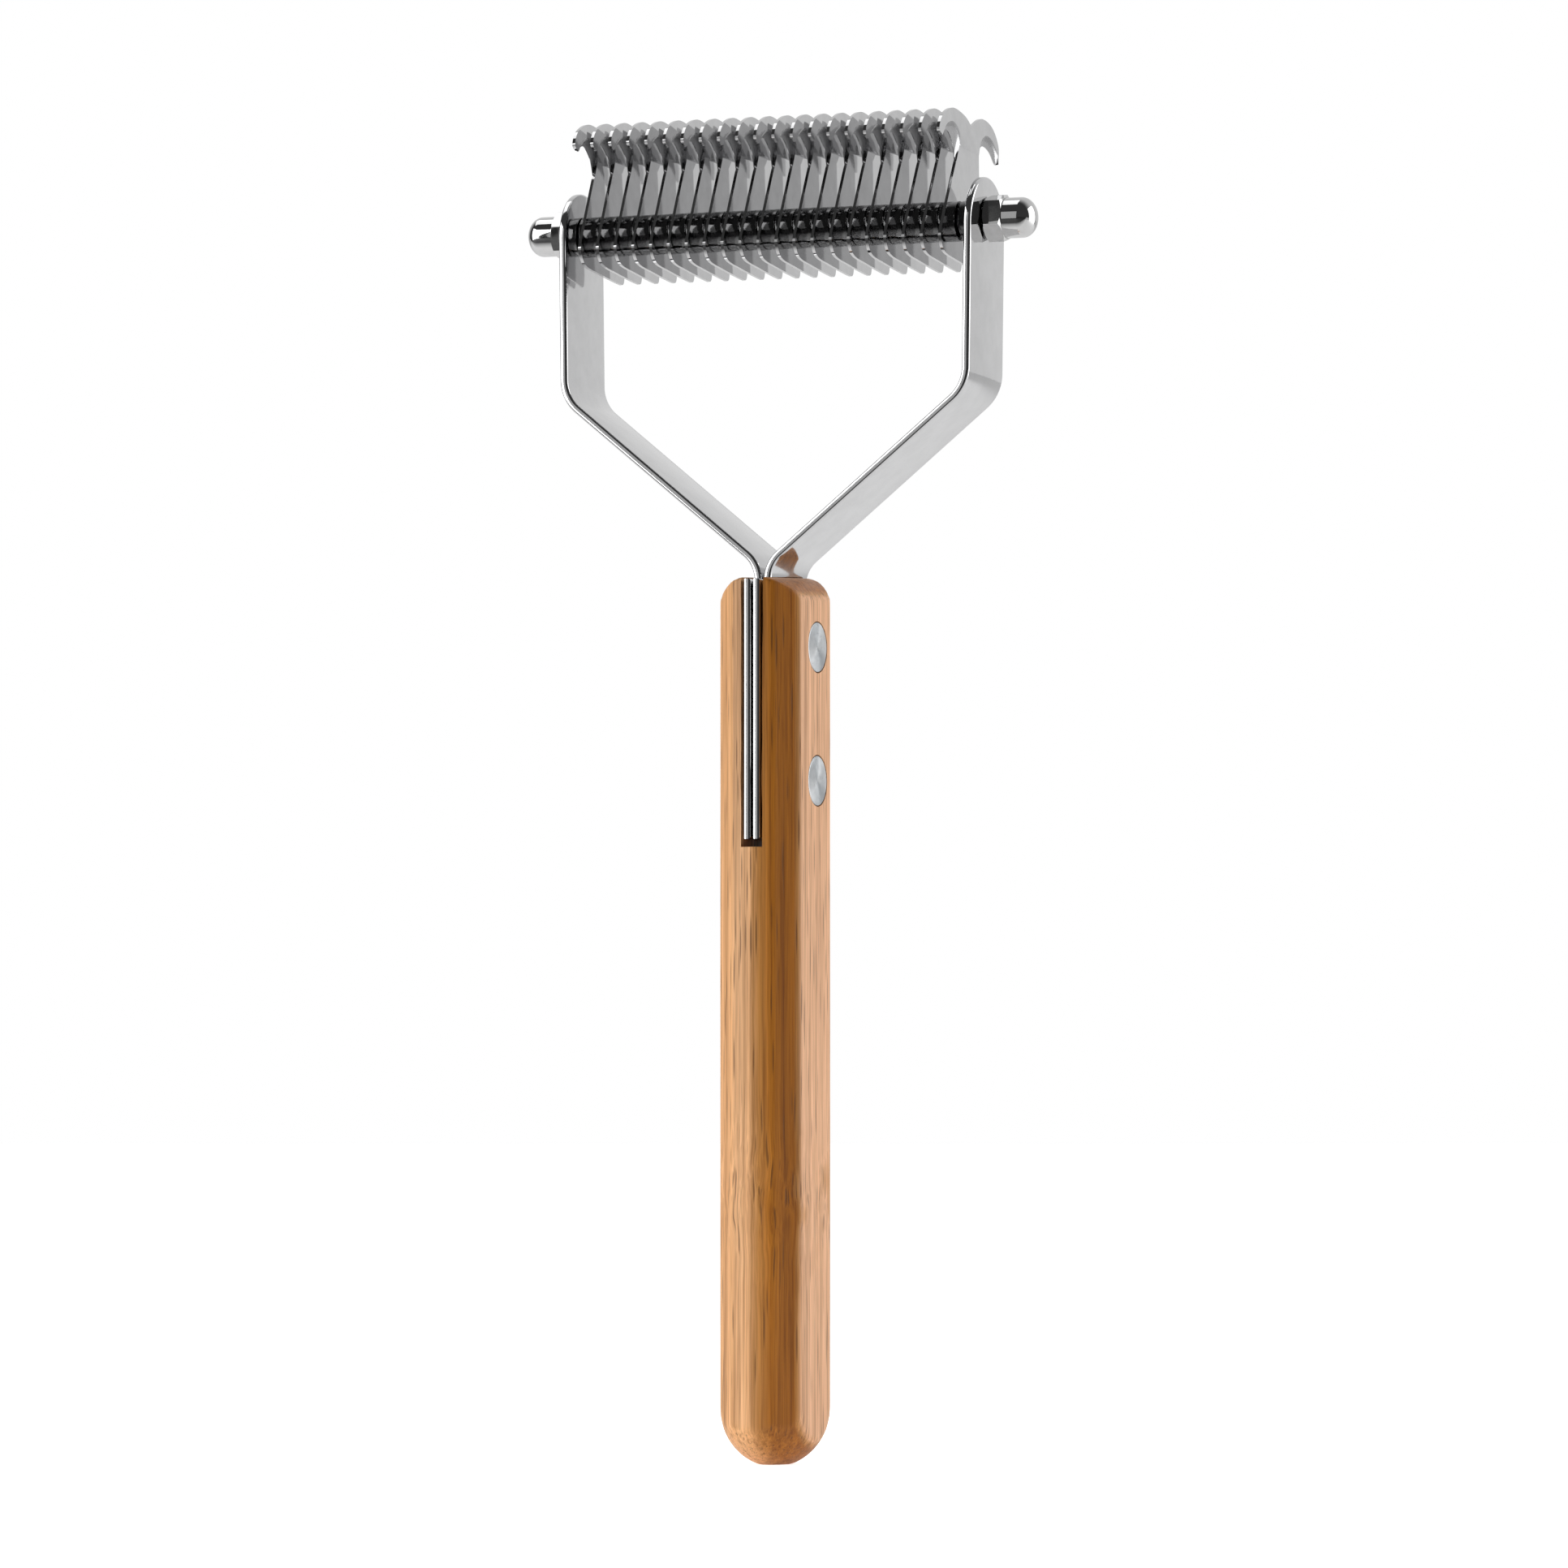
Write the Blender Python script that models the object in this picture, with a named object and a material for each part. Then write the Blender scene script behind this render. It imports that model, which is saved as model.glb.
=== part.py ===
"""A dematting rake for long coats: a pack of hooked blades on an axle, held by a bent steel fork
whose two tangs are riveted into the slot of a bamboo handle.

Metres, +Z up. The origin is the middle of the small flat on the butt of the handle, +Z runs along
the handle to the blades, X runs along the axle and the short front hooks point to -Y.
"""

from math import atan2, cos, hypot, pi, radians, sin, sqrt, tan

import bmesh
import bpy
from mathutils import Matrix, Vector

MM = 0.001
GAP = 0.3 * MM

# Handle: an elongated twelve-sided bar with a domed butt and an arched top.
HANDLE_LENGTH = 144.3 * MM
HANDLE_HALF_X = 7.2 * MM
SIDE_FLAT_HALF_Y = 6.4 * MM
FRONT_FACET_HALF_X = 3.6 * MM
FRONT_FACET_EDGE_Y = 10.1 * MM
HANDLE_HALF_Y = 10.9 * MM
FACET_STEPS = 3
BUTT_HEIGHT = 9.5 * MM
BUTT_FLAT_SHARE = 0.3
BUTT_RADIUS_X = 8.6 * MM
BUTT_RADIUS_Y = 11.6 * MM
BUTT_RINGS = 8
ARCH_RADIUS_X = 7.6 * MM
ARCH_RADIUS_Z = 5.7 * MM
ARCH_STEPS = 16
ARCH_TILT = radians(2.4)
SLOT_HALF_X = 1.85 * MM
SLOT_FLOOR_Z = 100.3 * MM

# Fork: two mirrored strips, each with a tang, two bends and a round end.
STRIP_THICKNESS = 1.3 * MM
STRIP_HALF_Y = 8.1 * MM
HEAD_Y = 2.3 * MM
TANG_FRONT_Y = -10.6 * MM
TANG_INNER_X = GAP / 2
TANG_END_Z = 101.6 * MM
SHOULDER_Z = 143.9 * MM
THROAT_Z = 146.5 * MM
ELBOW_Z = 174.6 * MM
ELBOW_INNER_X = 34.55 * MM
ARM_INNER_X = 34.9 * MM
THROAT_RADIUS = 5.6 * MM
ELBOW_RADIUS = 6.6 * MM
BEND_STEPS = 8

# Axle, blades and spacers.
AXLE_Z = 202.3 * MM
AXLE_RADIUS = 2.0 * MM
AXLE_HALF_LENGTH = 41.8 * MM
BORE_RADIUS = AXLE_RADIUS + GAP
ARM_END_Z = AXLE_Z - 1.3 * MM
BLADE_COUNT = 21
BLADE_PITCH = 3.165 * MM
BLADE_THICKNESS = 0.5 * MM
SPACER_RADIUS = 3.3 * MM
CURVE_STEPS = 2

# Cap nuts, M4.
NUT_ACROSS_FLATS = 7.0 * MM
NUT_HEX_LENGTH = 3.1 * MM
NUT_LENGTH = 8.2 * MM
NUT_DOME_RADIUS = 3.3 * MM
DOME_STEPS = 5
NUT_BORE_DEPTH = 5.8 * MM
NUT_TURN = radians(18)

# Rivets.
RIVET_HEIGHTS = {"upper_rivet": 133.1 * MM, "lower_rivet": 111.3 * MM}
RIVET_Y = 0.6 * MM
RIVET_HEAD_RADIUS = 4.1 * MM
RIVET_HEAD_LENGTH = 1.5 * MM
RIVET_SHANK_RADIUS = 2.0 * MM

ROUND_STEPS = 24


def clear_scene():
    for thing in list(bpy.data.objects):
        bpy.data.objects.remove(thing, do_unlink=True)


def material(name, colour, roughness, metallic=0.0):
    made = bpy.data.materials.new(name)
    made.use_nodes = True
    shader = made.node_tree.nodes["Principled BSDF"]
    shader.inputs["Base Color"].default_value = (*colour, 1.0)
    shader.inputs["Roughness"].default_value = roughness
    shader.inputs["Metallic"].default_value = metallic
    return made


def mesh_from(bm, name, sharp_angle=radians(35)):
    bmesh.ops.recalc_face_normals(bm, faces=bm.faces)
    mesh = bpy.data.meshes.new(name)
    bm.to_mesh(mesh)
    bm.free()
    mesh.shade_smooth()
    mesh.set_sharp_from_angle(angle=sharp_angle)
    return mesh


def place(name, mesh, finish=None):
    thing = bpy.data.objects.new(name, mesh)
    bpy.context.scene.collection.objects.link(thing)
    if finish:
        mesh.materials.clear()
        mesh.materials.append(finish)
    return thing


def boolean(target, operation, mesh):
    """Combines target with a hidden object made from mesh."""
    cutter = place(f"{target.name}_{operation.lower()}", mesh)
    cutter.hide_render = True
    cutter.display_type = "WIRE"
    modifier = target.modifiers.new(cutter.name, "BOOLEAN")
    modifier.operation = operation
    modifier.solver = "EXACT"
    modifier.object = cutter
    return cutter


def finished_mesh(thing, name):
    """The mesh of thing with its modifiers applied. The object and its cutters are removed."""
    cutters = [m.object for m in thing.modifiers if m.type == "BOOLEAN"]
    depsgraph = bpy.context.evaluated_depsgraph_get()
    mesh = bpy.data.meshes.new_from_object(thing.evaluated_get(depsgraph))
    mesh.name = name
    for used in [thing, *cutters]:
        bpy.data.objects.remove(used, do_unlink=True)
    return mesh


def circle(radius, steps=ROUND_STEPS, centre=(0.0, 0.0)):
    turns = [2 * pi * i / steps for i in range(steps)]
    return [(centre[0] + radius * cos(a), centre[1] + radius * sin(a)) for a in turns]


def plate(outline, holes, low, high, plane, name):
    """A flat plate: outline and holes lie in plane ("XZ" or "YZ"), low to high is its thickness."""
    bm = bmesh.new()
    for loop in [outline, *holes]:
        if plane == "YZ":
            corners = [bm.verts.new((low, a, b)) for a, b in loop]
        else:
            corners = [bm.verts.new((a, low, b)) for a, b in loop]
        for first, second in zip(corners, corners[1:] + corners[:1]):
            bm.edges.new((first, second))
    bmesh.ops.triangle_fill(bm, use_beauty=True, edges=bm.edges[:])
    grown = bmesh.ops.extrude_face_region(bm, geom=bm.faces[:])["geom"]
    across = Vector((1, 0, 0)) if plane == "YZ" else Vector((0, 1, 0))
    moved = [v for v in grown if isinstance(v, bmesh.types.BMVert)]
    bmesh.ops.translate(bm, verts=moved, vec=across * (high - low))
    return mesh_from(bm, name)


def turned(profile, name, tube=False, steps=ROUND_STEPS):
    """A turned solid along X from (x, radius) pairs. A tube joins its last pair to its first."""
    bm = bmesh.new()
    rings = []
    for x, radius in profile:
        rings.append([bm.verts.new((x, *p)) for p in circle(radius, steps)])
    pairs = list(zip(rings, rings[1:]))
    if tube:
        pairs.append((rings[-1], rings[0]))
    else:
        bm.faces.new(rings[0])
        bm.faces.new(rings[-1])
    for ring, following in pairs:
        for i in range(steps):
            j = (i + 1) % steps
            bm.faces.new((ring[i], ring[j], following[j], following[i]))
    return mesh_from(bm, name)


def handle_section():
    """The handle's outline as (x, y) points, each facet split into FACET_STEPS."""
    quarter = [
        (HANDLE_HALF_X, SIDE_FLAT_HALF_Y),
        (FRONT_FACET_HALF_X, FRONT_FACET_EDGE_Y),
        (0.0, HANDLE_HALF_Y),
    ]
    half = quarter + [(-x, y) for x, y in reversed(quarter[:-1])]
    corners = half + [(-x, -y) for x, y in half]
    points = []
    for (ax, ay), (bx, by) in zip(corners, corners[1:] + corners[:1]):
        for i in range(FACET_STEPS):
            share = i / FACET_STEPS
            points.append((ax + (bx - ax) * share, ay + (by - ay) * share))
    return points


def handle_blank():
    """The bar with its domed butt, left square at the top."""
    bm = bmesh.new()
    section = handle_section()
    start = 1 - sqrt(1 - BUTT_FLAT_SHARE**2)
    levels = [(start + (1 - start) * (i / BUTT_RINGS) ** 1.6) for i in range(BUTT_RINGS + 1)]
    rings = []
    for level in levels:
        dome = sqrt(1 - (1 - level) ** 2)
        z = BUTT_HEIGHT * (level - start) / (1 - start)
        ring = []
        for x, y in section:
            reach = dome / hypot(x / BUTT_RADIUS_X, y / BUTT_RADIUS_Y)
            share = min(1.0, reach)
            ring.append(bm.verts.new((x * share, y * share, z)))
        rings.append(ring)
    rings.append([bm.verts.new((x, y, HANDLE_LENGTH + 2 * MM)) for x, y in section])
    bm.faces.new(rings[0])
    bm.faces.new(rings[-1])
    for ring, above in zip(rings, rings[1:]):
        for i in range(len(section)):
            j = (i + 1) % len(section)
            bm.faces.new((ring[i], ring[j], above[j], above[i]))
    return mesh_from(bm, "handle", radians(20))


def arch_cutter():
    """Everything above the arched top of the handle, which rises to the rear."""
    side = ARCH_RADIUS_X * 0.999
    arch = []
    for i in range(ARCH_STEPS + 1):
        x = side * cos(pi * i / ARCH_STEPS)
        drop = ARCH_RADIUS_Z * (1 - sqrt(1 - (x / ARCH_RADIUS_X) ** 2))
        arch.append((x, HANDLE_LENGTH - drop))
    foot = arch[0][1]
    top = HANDLE_LENGTH + 4 * MM
    wide = 10 * MM
    outline = [(-wide, foot), (-wide, top), (wide, top), (wide, foot)] + arch
    mesh = plate(outline, [], -2 * HANDLE_HALF_Y, 2 * HANDLE_HALF_Y, "XZ", "arch")
    for vertex in mesh.vertices:
        vertex.co.z += (vertex.co.y + HANDLE_HALF_Y) * tan(ARCH_TILT)
    return mesh


def slot_cutter():
    top = HANDLE_LENGTH + 3 * MM
    outline = [
        (-SLOT_HALF_X, SLOT_FLOOR_Z),
        (SLOT_HALF_X, SLOT_FLOOR_Z),
        (SLOT_HALF_X, top),
        (-SLOT_HALF_X, top),
    ]
    return plate(outline, [], -2 * HANDLE_HALF_Y, 2 * HANDLE_HALF_Y, "XZ", "slot")


def rivet_profile(room=0.0, reach=HANDLE_HALF_X):
    """A spool along X: two flush heads and the shank between them, grown by room."""
    head = RIVET_HEAD_RADIUS + room
    shank = RIVET_SHANK_RADIUS + room
    seat = HANDLE_HALF_X - RIVET_HEAD_LENGTH - room
    return [(-reach, head), (-seat, head), (-seat, shank), (seat, shank), (seat, head), (reach, head)]


def make_rivet(name, height, finish):
    rivet = place(name, turned(rivet_profile(), name), finish)
    rivet.location = (0, RIVET_Y, height)


def make_handle(finish):
    handle = place("handle", handle_blank(), finish)
    boolean(handle, "DIFFERENCE", arch_cutter())
    boolean(handle, "DIFFERENCE", slot_cutter())
    for height in RIVET_HEIGHTS.values():
        hole = turned(rivet_profile(GAP, HANDLE_HALF_X + 1 * MM), "rivet_hole")
        boolean(handle, "DIFFERENCE", hole).location = (0, RIVET_Y, height)


def bent_path(corners, radii):
    """Points and unit normals along a path of straight runs joined by arcs."""
    path = []
    for i, (corner, radius) in enumerate(zip(corners, radii)):
        if not radius:
            ahead = (corners[1] - corners[0]) if i == 0 else (corner - corners[i - 1])
            ahead.normalize()
            path.append((corner, Vector((-ahead.y, ahead.x))))
            continue
        before = (corner - corners[i - 1]).normalized()
        after = (corners[i + 1] - corner).normalized()
        angle = before.angle_signed(after)
        side = -1 if angle > 0 else 1
        start = corner - before * radius * tan(abs(angle) / 2)
        left = Vector((-before.y, before.x))
        centre = start + left * radius * side
        for step in range(BEND_STEPS + 1):
            swung = Matrix.Rotation(-angle * step / BEND_STEPS, 2)
            normal = swung @ left
            path.append((centre - normal * radius * side, normal))
    return path


def strip_side_view():
    """The bent strip of the right arm as (x, z) points, from the tang's end to the round end."""
    middle = STRIP_THICKNESS / 2
    top = ARM_END_Z + STRIP_HALF_Y + 1 * MM
    splay = (ARM_INNER_X - ELBOW_INNER_X) / (AXLE_Z - ELBOW_Z)
    top_inner_x = ELBOW_INNER_X + splay * (top - ELBOW_Z)
    corners = [
        Vector((TANG_INNER_X + middle, TANG_END_Z - 1 * MM)),
        Vector((TANG_INNER_X + middle, THROAT_Z)),
        Vector((ELBOW_INNER_X + middle, ELBOW_Z)),
        Vector((top_inner_x + middle, top)),
    ]
    path = bent_path(corners, [0, THROAT_RADIUS, ELBOW_RADIUS, 0])
    inner = [tuple(point + normal * middle) for point, normal in path]
    outer = [tuple(point - normal * middle) for point, normal in path]
    return inner + outer[::-1]


def strip_front_view():
    """What the strip keeps of its width, as (y, z) points: the tang, its shoulder and a round end."""
    rear = HEAD_Y + STRIP_HALF_Y
    front = HEAD_Y - STRIP_HALF_Y
    turns = [pi * i / ROUND_STEPS for i in range(ROUND_STEPS + 1)]
    round_end = [(HEAD_Y + STRIP_HALF_Y * cos(a), ARM_END_Z + STRIP_HALF_Y * sin(a)) for a in turns]
    shoulder = [(front, SHOULDER_Z), (TANG_FRONT_Y, SHOULDER_Z)]
    return [(TANG_FRONT_Y, TANG_END_Z), (rear, TANG_END_Z)] + round_end + shoulder


def arm_mesh():
    bar = plate(strip_side_view(), [], -2 * HANDLE_HALF_Y, 2 * HANDLE_HALF_Y, "XZ", "strip")
    arm = place("strip", bar)
    holes = [circle(BORE_RADIUS, centre=(HEAD_Y, AXLE_Z))]
    for height in RIVET_HEIGHTS.values():
        holes.append(circle(RIVET_SHANK_RADIUS + GAP, centre=(RIVET_Y, height)))
    width = plate(strip_front_view(), holes, -5 * MM, ARM_INNER_X + 5 * MM, "YZ", "strip_width")
    boolean(arm, "INTERSECT", width)
    return finished_mesh(arm, "arm")


def make_arms(finish):
    right = arm_mesh()
    left = right.copy()
    left.transform(Matrix.Diagonal((-1, 1, 1, 1)))
    left.flip_normals()
    place("right_arm", right, finish)
    place("left_arm", left, finish)


def smooth_curve(points, steps=CURVE_STEPS):
    """A Catmull-Rom curve through points, without its last point."""
    knots = [Vector(p) for p in points]
    padded = [knots[0] * 2 - knots[1], *knots, knots[-1] * 2 - knots[-2]]
    curve = []
    for a, b, c, d in zip(padded, padded[1:], padded[2:], padded[3:]):
        for step in range(steps):
            t = step / steps
            straight = 2 * b + (c - a) * t
            bend = (2 * a - 5 * b + 4 * c - d) * t**2 + (3 * b - a - 3 * c + d) * t**3
            curve.append((straight + bend) / 2)
    return curve


def blade_outline(rear_hook):
    """The blade around its axle hole as (y, z) points, in metres."""
    front_hook = [(-9.0, 12.9), (-10.4, 13.9), (-8.6, 16.3), (-4.0, 17.9), (1.4, 17.2), (4.6, 15.8)]
    if rear_hook:
        over = [(4.6, 15.8), (9.4, 17.5), (14.4, 16.6), (17.3, 13.8), (17.2, 10.8)]
        under = [(16.2, 10.8), (13.6, 12.6), (10.3, 13.1), (7.9, 11.2)]
        rear = smooth_curve(over) + smooth_curve([over[-1], under[0]], 1) + smooth_curve(under)
    else:
        rear = smooth_curve([(4.6, 15.8), (6.9, 14.1), (7.9, 11.2)])
    foot = [(7.9, -6.2), (7.2, -7.6), (5.4, -7.7), (-3.0, -6.8), (-8.6, -5.9), (-10.3, -3.6), (-9.8, -2.0)]
    neck = [(-3.6, 8.0), (-2.5, 9.6), (-3.4, 12.2), (-6.0, 14.1), (-9.0, 12.9)]
    outline = smooth_curve(front_hook) + rear + [Vector((7.9, 11.2))]
    outline += smooth_curve(foot) + [Vector(foot[-1])] + smooth_curve(neck)
    return [tuple(point * MM) for point in outline]


def blade_mesh(rear_hook):
    name = "two_hook_blade" if rear_hook else "one_hook_blade"
    half = BLADE_THICKNESS / 2
    return plate(blade_outline(rear_hook), [circle(BORE_RADIUS, 16)], -half, half, "YZ", name)


def blade_positions():
    middle = (BLADE_COUNT - 1) / 2
    return [(i - middle) * BLADE_PITCH for i in range(BLADE_COUNT)]


def make_blades(finish):
    meshes = [blade_mesh(rear_hook=True), blade_mesh(rear_hook=False)]
    for i, x in enumerate(blade_positions()):
        blade = place(f"blade_{i + 1:02d}", meshes[i % 2], finish)
        blade.location = (x, HEAD_Y, AXLE_Z)


def spacer_mesh(length, name):
    half = length / 2
    profile = [(-half, BORE_RADIUS), (-half, SPACER_RADIUS), (half, SPACER_RADIUS), (half, BORE_RADIUS)]
    return turned(profile, name, tube=True, steps=16)


def make_spacers(finish):
    """One spacer between each two blades and one between each end blade and its arm."""
    half = BLADE_THICKNESS / 2
    blades = blade_positions()
    spaces = [(-ARM_INNER_X, blades[0] - half)]
    spaces += [(x + half, following - half) for x, following in zip(blades, blades[1:])]
    spaces.append((blades[-1] + half, ARM_INNER_X))
    inner = spacer_mesh(BLADE_PITCH - BLADE_THICKNESS - 2 * GAP, "inner_spacer")
    outer = spacer_mesh(spaces[0][1] - spaces[0][0] - 2 * GAP, "end_spacer")
    for i, (low, high) in enumerate(spaces):
        mesh = outer if i in (0, BLADE_COUNT) else inner
        spacer = place(f"spacer_{i + 1:02d}", mesh, finish)
        spacer.location = ((low + high) / 2, HEAD_Y, AXLE_Z)


def make_axle(finish):
    end = 0.5 * MM
    profile = [
        (-AXLE_HALF_LENGTH, AXLE_RADIUS - end),
        (-AXLE_HALF_LENGTH + end, AXLE_RADIUS),
        (AXLE_HALF_LENGTH - end, AXLE_RADIUS),
        (AXLE_HALF_LENGTH, AXLE_RADIUS - end),
    ]
    rod = place("axle_rod", turned(profile, "axle_rod"), finish)
    rod.location = (0, HEAD_Y, AXLE_Z)


def nut_mesh():
    """A cap nut whose seat lies at x = 0 and whose dome points to +X."""
    corner = NUT_ACROSS_FLATS / sqrt(3)
    turns = [radians(60 * i) + NUT_TURN for i in range(6)]
    hexagon = [(corner * cos(a), corner * sin(a)) for a in turns]
    nut = place("nut", plate(hexagon, [], 0, NUT_HEX_LENGTH, "YZ", "nut"))
    inside = NUT_ACROSS_FLATS / 2
    chamfer = corner - inside
    past = 0.4 * MM
    cone = [(NUT_HEX_LENGTH - chamfer, corner + past), (NUT_HEX_LENGTH + past, inside - past)]
    cone.insert(0, (-past, corner + past))
    boolean(nut, "INTERSECT", turned(cone, "nut_chamfer"))
    straight = NUT_LENGTH - NUT_DOME_RADIUS
    dome = [(NUT_HEX_LENGTH / 2, NUT_DOME_RADIUS)]
    for i in range(DOME_STEPS):
        turn = pi / 2 * i / DOME_STEPS
        dome.append((straight + NUT_DOME_RADIUS * sin(turn), NUT_DOME_RADIUS * cos(turn)))
    dome.append((NUT_LENGTH, NUT_DOME_RADIUS * 0.06))
    boolean(nut, "UNION", turned(dome, "nut_dome"))
    bore = [(-1 * MM, BORE_RADIUS), (NUT_BORE_DEPTH, BORE_RADIUS)]
    boolean(nut, "DIFFERENCE", turned(bore, "nut_bore"))
    return finished_mesh(nut, "cap_nut")


def make_nuts(finish):
    mesh = nut_mesh()
    mesh.shade_smooth()
    mesh.set_sharp_from_angle(angle=radians(25))
    seat = ARM_INNER_X + STRIP_THICKNESS + GAP
    right = place("right_cap_nut", mesh, finish)
    right.location = (seat, HEAD_Y, AXLE_Z)
    left = place("left_cap_nut", mesh, finish)
    left.location = (-seat, HEAD_Y, AXLE_Z)
    left.rotation_euler = (0, 0, pi)


def main():
    clear_scene()
    bamboo = material("bamboo", (0.56, 0.31, 0.12), 0.5)
    steel = material("polished_steel", (0.72, 0.72, 0.73), 0.12, 1.0)
    blade_steel = material("blade_steel", (0.68, 0.68, 0.69), 0.15, 1.0)
    plated = material("plated_nut", (0.75, 0.75, 0.76), 0.08, 1.0)
    brushed = material("brushed_rivet", (0.62, 0.64, 0.65), 0.35, 1.0)
    black = material("black_spacer", (0.01, 0.01, 0.01), 0.25)
    make_handle(bamboo)
    make_arms(steel)
    for name, height in RIVET_HEIGHTS.items():
        make_rivet(name, height, brushed)
    make_axle(steel)
    make_blades(blade_steel)
    make_spacers(black)
    make_nuts(plated)


main()
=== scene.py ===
"""The looks of a dematting rake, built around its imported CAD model. Metres, in the model's frame.

Every visible piece is a finer mesh that stands for its CAD node and rides on the same body.
Places and sizes come from the CAD nodes' boxes. Curves are in millimetres from the axle.
"""

from math import cos, hypot, pi, radians, sin, sqrt, tan

import bmesh
import bpy
from mathutils import Matrix, Vector, noise


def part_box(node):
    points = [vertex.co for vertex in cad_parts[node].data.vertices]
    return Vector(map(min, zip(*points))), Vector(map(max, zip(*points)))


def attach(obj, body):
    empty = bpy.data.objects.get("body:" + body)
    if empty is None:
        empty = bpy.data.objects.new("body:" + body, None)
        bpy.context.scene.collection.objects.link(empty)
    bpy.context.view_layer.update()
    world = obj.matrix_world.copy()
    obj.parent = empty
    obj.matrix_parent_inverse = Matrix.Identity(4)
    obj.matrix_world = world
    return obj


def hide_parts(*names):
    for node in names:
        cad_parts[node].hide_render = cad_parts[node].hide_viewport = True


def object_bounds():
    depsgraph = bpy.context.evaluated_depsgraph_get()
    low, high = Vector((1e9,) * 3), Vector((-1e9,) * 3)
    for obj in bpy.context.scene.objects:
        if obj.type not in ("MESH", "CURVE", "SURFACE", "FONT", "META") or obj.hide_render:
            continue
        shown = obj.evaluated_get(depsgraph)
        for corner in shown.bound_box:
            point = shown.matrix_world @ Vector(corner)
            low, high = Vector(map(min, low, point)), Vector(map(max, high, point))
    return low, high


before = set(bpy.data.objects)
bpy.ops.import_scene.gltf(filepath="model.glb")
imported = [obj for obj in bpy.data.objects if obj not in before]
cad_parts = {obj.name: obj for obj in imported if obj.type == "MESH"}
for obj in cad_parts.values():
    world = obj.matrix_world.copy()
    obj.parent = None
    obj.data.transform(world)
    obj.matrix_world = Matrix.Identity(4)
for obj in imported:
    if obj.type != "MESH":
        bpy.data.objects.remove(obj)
cad_low, cad_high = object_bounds()

MM = 0.001

# Camera.
CAMERA_AZIMUTH = radians(21.62)
CAMERA_ELEVATION = radians(-2.04)
CAMERA_DISTANCE = 1.3263
CAMERA_AIM_Z = 0.11084
CAMERA_SIDESTEP = 0.00141
CAMERA_LENS = 186.34
CAMERA_SENSOR = 36.0

# Studio. A soft box is azimuth, elevation, distance, width, height and power.
SOFT_BOXES = {
    "left_soft_box": (-50, 8, 0.95, 0.75, 1.1, 10.2),
    "front_soft_box": (-18, 15, 0.95, 0.28, 0.62, 0.27),
    "right_soft_box": (116, 8, 0.95, 0.7, 1.1, 6.2),
    "top_soft_box": (-98, 66, 1.0, 0.55, 0.55, 1.5),
}
LIGHT_AIM_Z = 0.11
ROOM_BRIGHT_AZIMUTH = 178
ROOM_BRIGHT_ELEVATION = 12
ROOM_GREYS = ((0.02, 0.05), (0.75, 0.82))
FLOOR_RADIUS = 6.0
FLOOR_DARK_AZIMUTH = -12
FLOOR_DARK_START = 0.09
FLOOR_DARK_END = 0.30
FLOOR_PALE = (0.9, 0.9, 0.9, 1)
FLOOR_DARK = (0.05, 0.05, 0.05, 1)
FLOOR_GLOW = 0.3
FLOOR_GLOW_SEEN = 0.75

# Handle.
FACET_STEPS = 8
SIDE_FLAT_HALF_Y = 6.4 * MM
FRONT_FACET_HALF_X = 3.6 * MM
FRONT_FACET_EDGE_Y = 10.1 * MM
BUTT_HEIGHT = 9.5 * MM
BUTT_FLAT_SHARE = 0.3
BUTT_RADIUS_X = 8.6 * MM
BUTT_RADIUS_Y = 11.6 * MM
BUTT_STEPS = 24
ARCH_RADIUS_X = 7.6 * MM
ARCH_RADIUS_Z = 5.7 * MM
ARCH_TILT = radians(2.4)
ARCH_STEPS = 48
HANDLE_FRONT_TOP = 144.3 * MM
SLOT_HALF_X = 1.85 * MM
SLOT_FLOOR_Z = 100.3 * MM
SLOT_STEPS = 24
SLOT_WANDER = 0.12 * MM
SLOT_FLARE = 0.22 * MM
SLOT_FLARE_Z = 0.128
SLOT_FLARE_HEIGHT = 0.017
WOOD_VOXEL = 0.32 * MM
FIBRE_RELIEF = 0.03 * MM
FIBRE_SCALES = (1500, 24)
KNOT_SCALES = (420, 60)
RIVET_CLEARANCE = 0.14 * MM
RIVET_HEAD_DEPTH = 1.5 * MM
RIVET_RIM = 0.18 * MM

# Fork.
STRIP_THICKNESS = 1.3 * MM
STRIP_EDGE_RADIUS = 0.42 * MM
SHOULDER_Z = 143.9 * MM
THROAT_Z = 146.5 * MM
ELBOW_Z = 174.6 * MM
ELBOW_INNER_X = 34.55 * MM
THROAT_RADIUS = 5.6 * MM
ELBOW_RADIUS = 6.6 * MM
TANG_INNER_X = 0.15 * MM
BEND_STEPS = 20

# Axle, blades, spacers and nuts.
THREAD_PITCH = 0.7 * MM
THREAD_DEPTH = 0.3 * MM
THREAD_CREST = (0.38, 0.62)
ROD_CHAMFER = 0.5 * MM
BORE_RADIUS = 2.3 * MM
SPACER_SAG = 0.2 * MM
SPACER_GROW = 0.3 * MM - 0.03 * MM
OUTER_SPACER_GROW = 0.02 * MM
SPACER_RIM = 0.14 * MM
FIRST_LEAN = radians(3.4)
LAST_LEAN = radians(0.7)
NUT_ACROSS_FLATS = 7.0 * MM
NUT_HEX_LENGTH = 3.1 * MM
NUT_DOME_RADIUS = 3.3 * MM
NUT_DOME_DEPTH = 2.5 * MM
NUT_TURN = radians(18)
NUT_CHAMFER = 0.62
NUT_BORE_DEPTH = 5.8 * MM
ROUND_STEPS = 48


# ---------------------------------------------------------------- meshes


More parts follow.
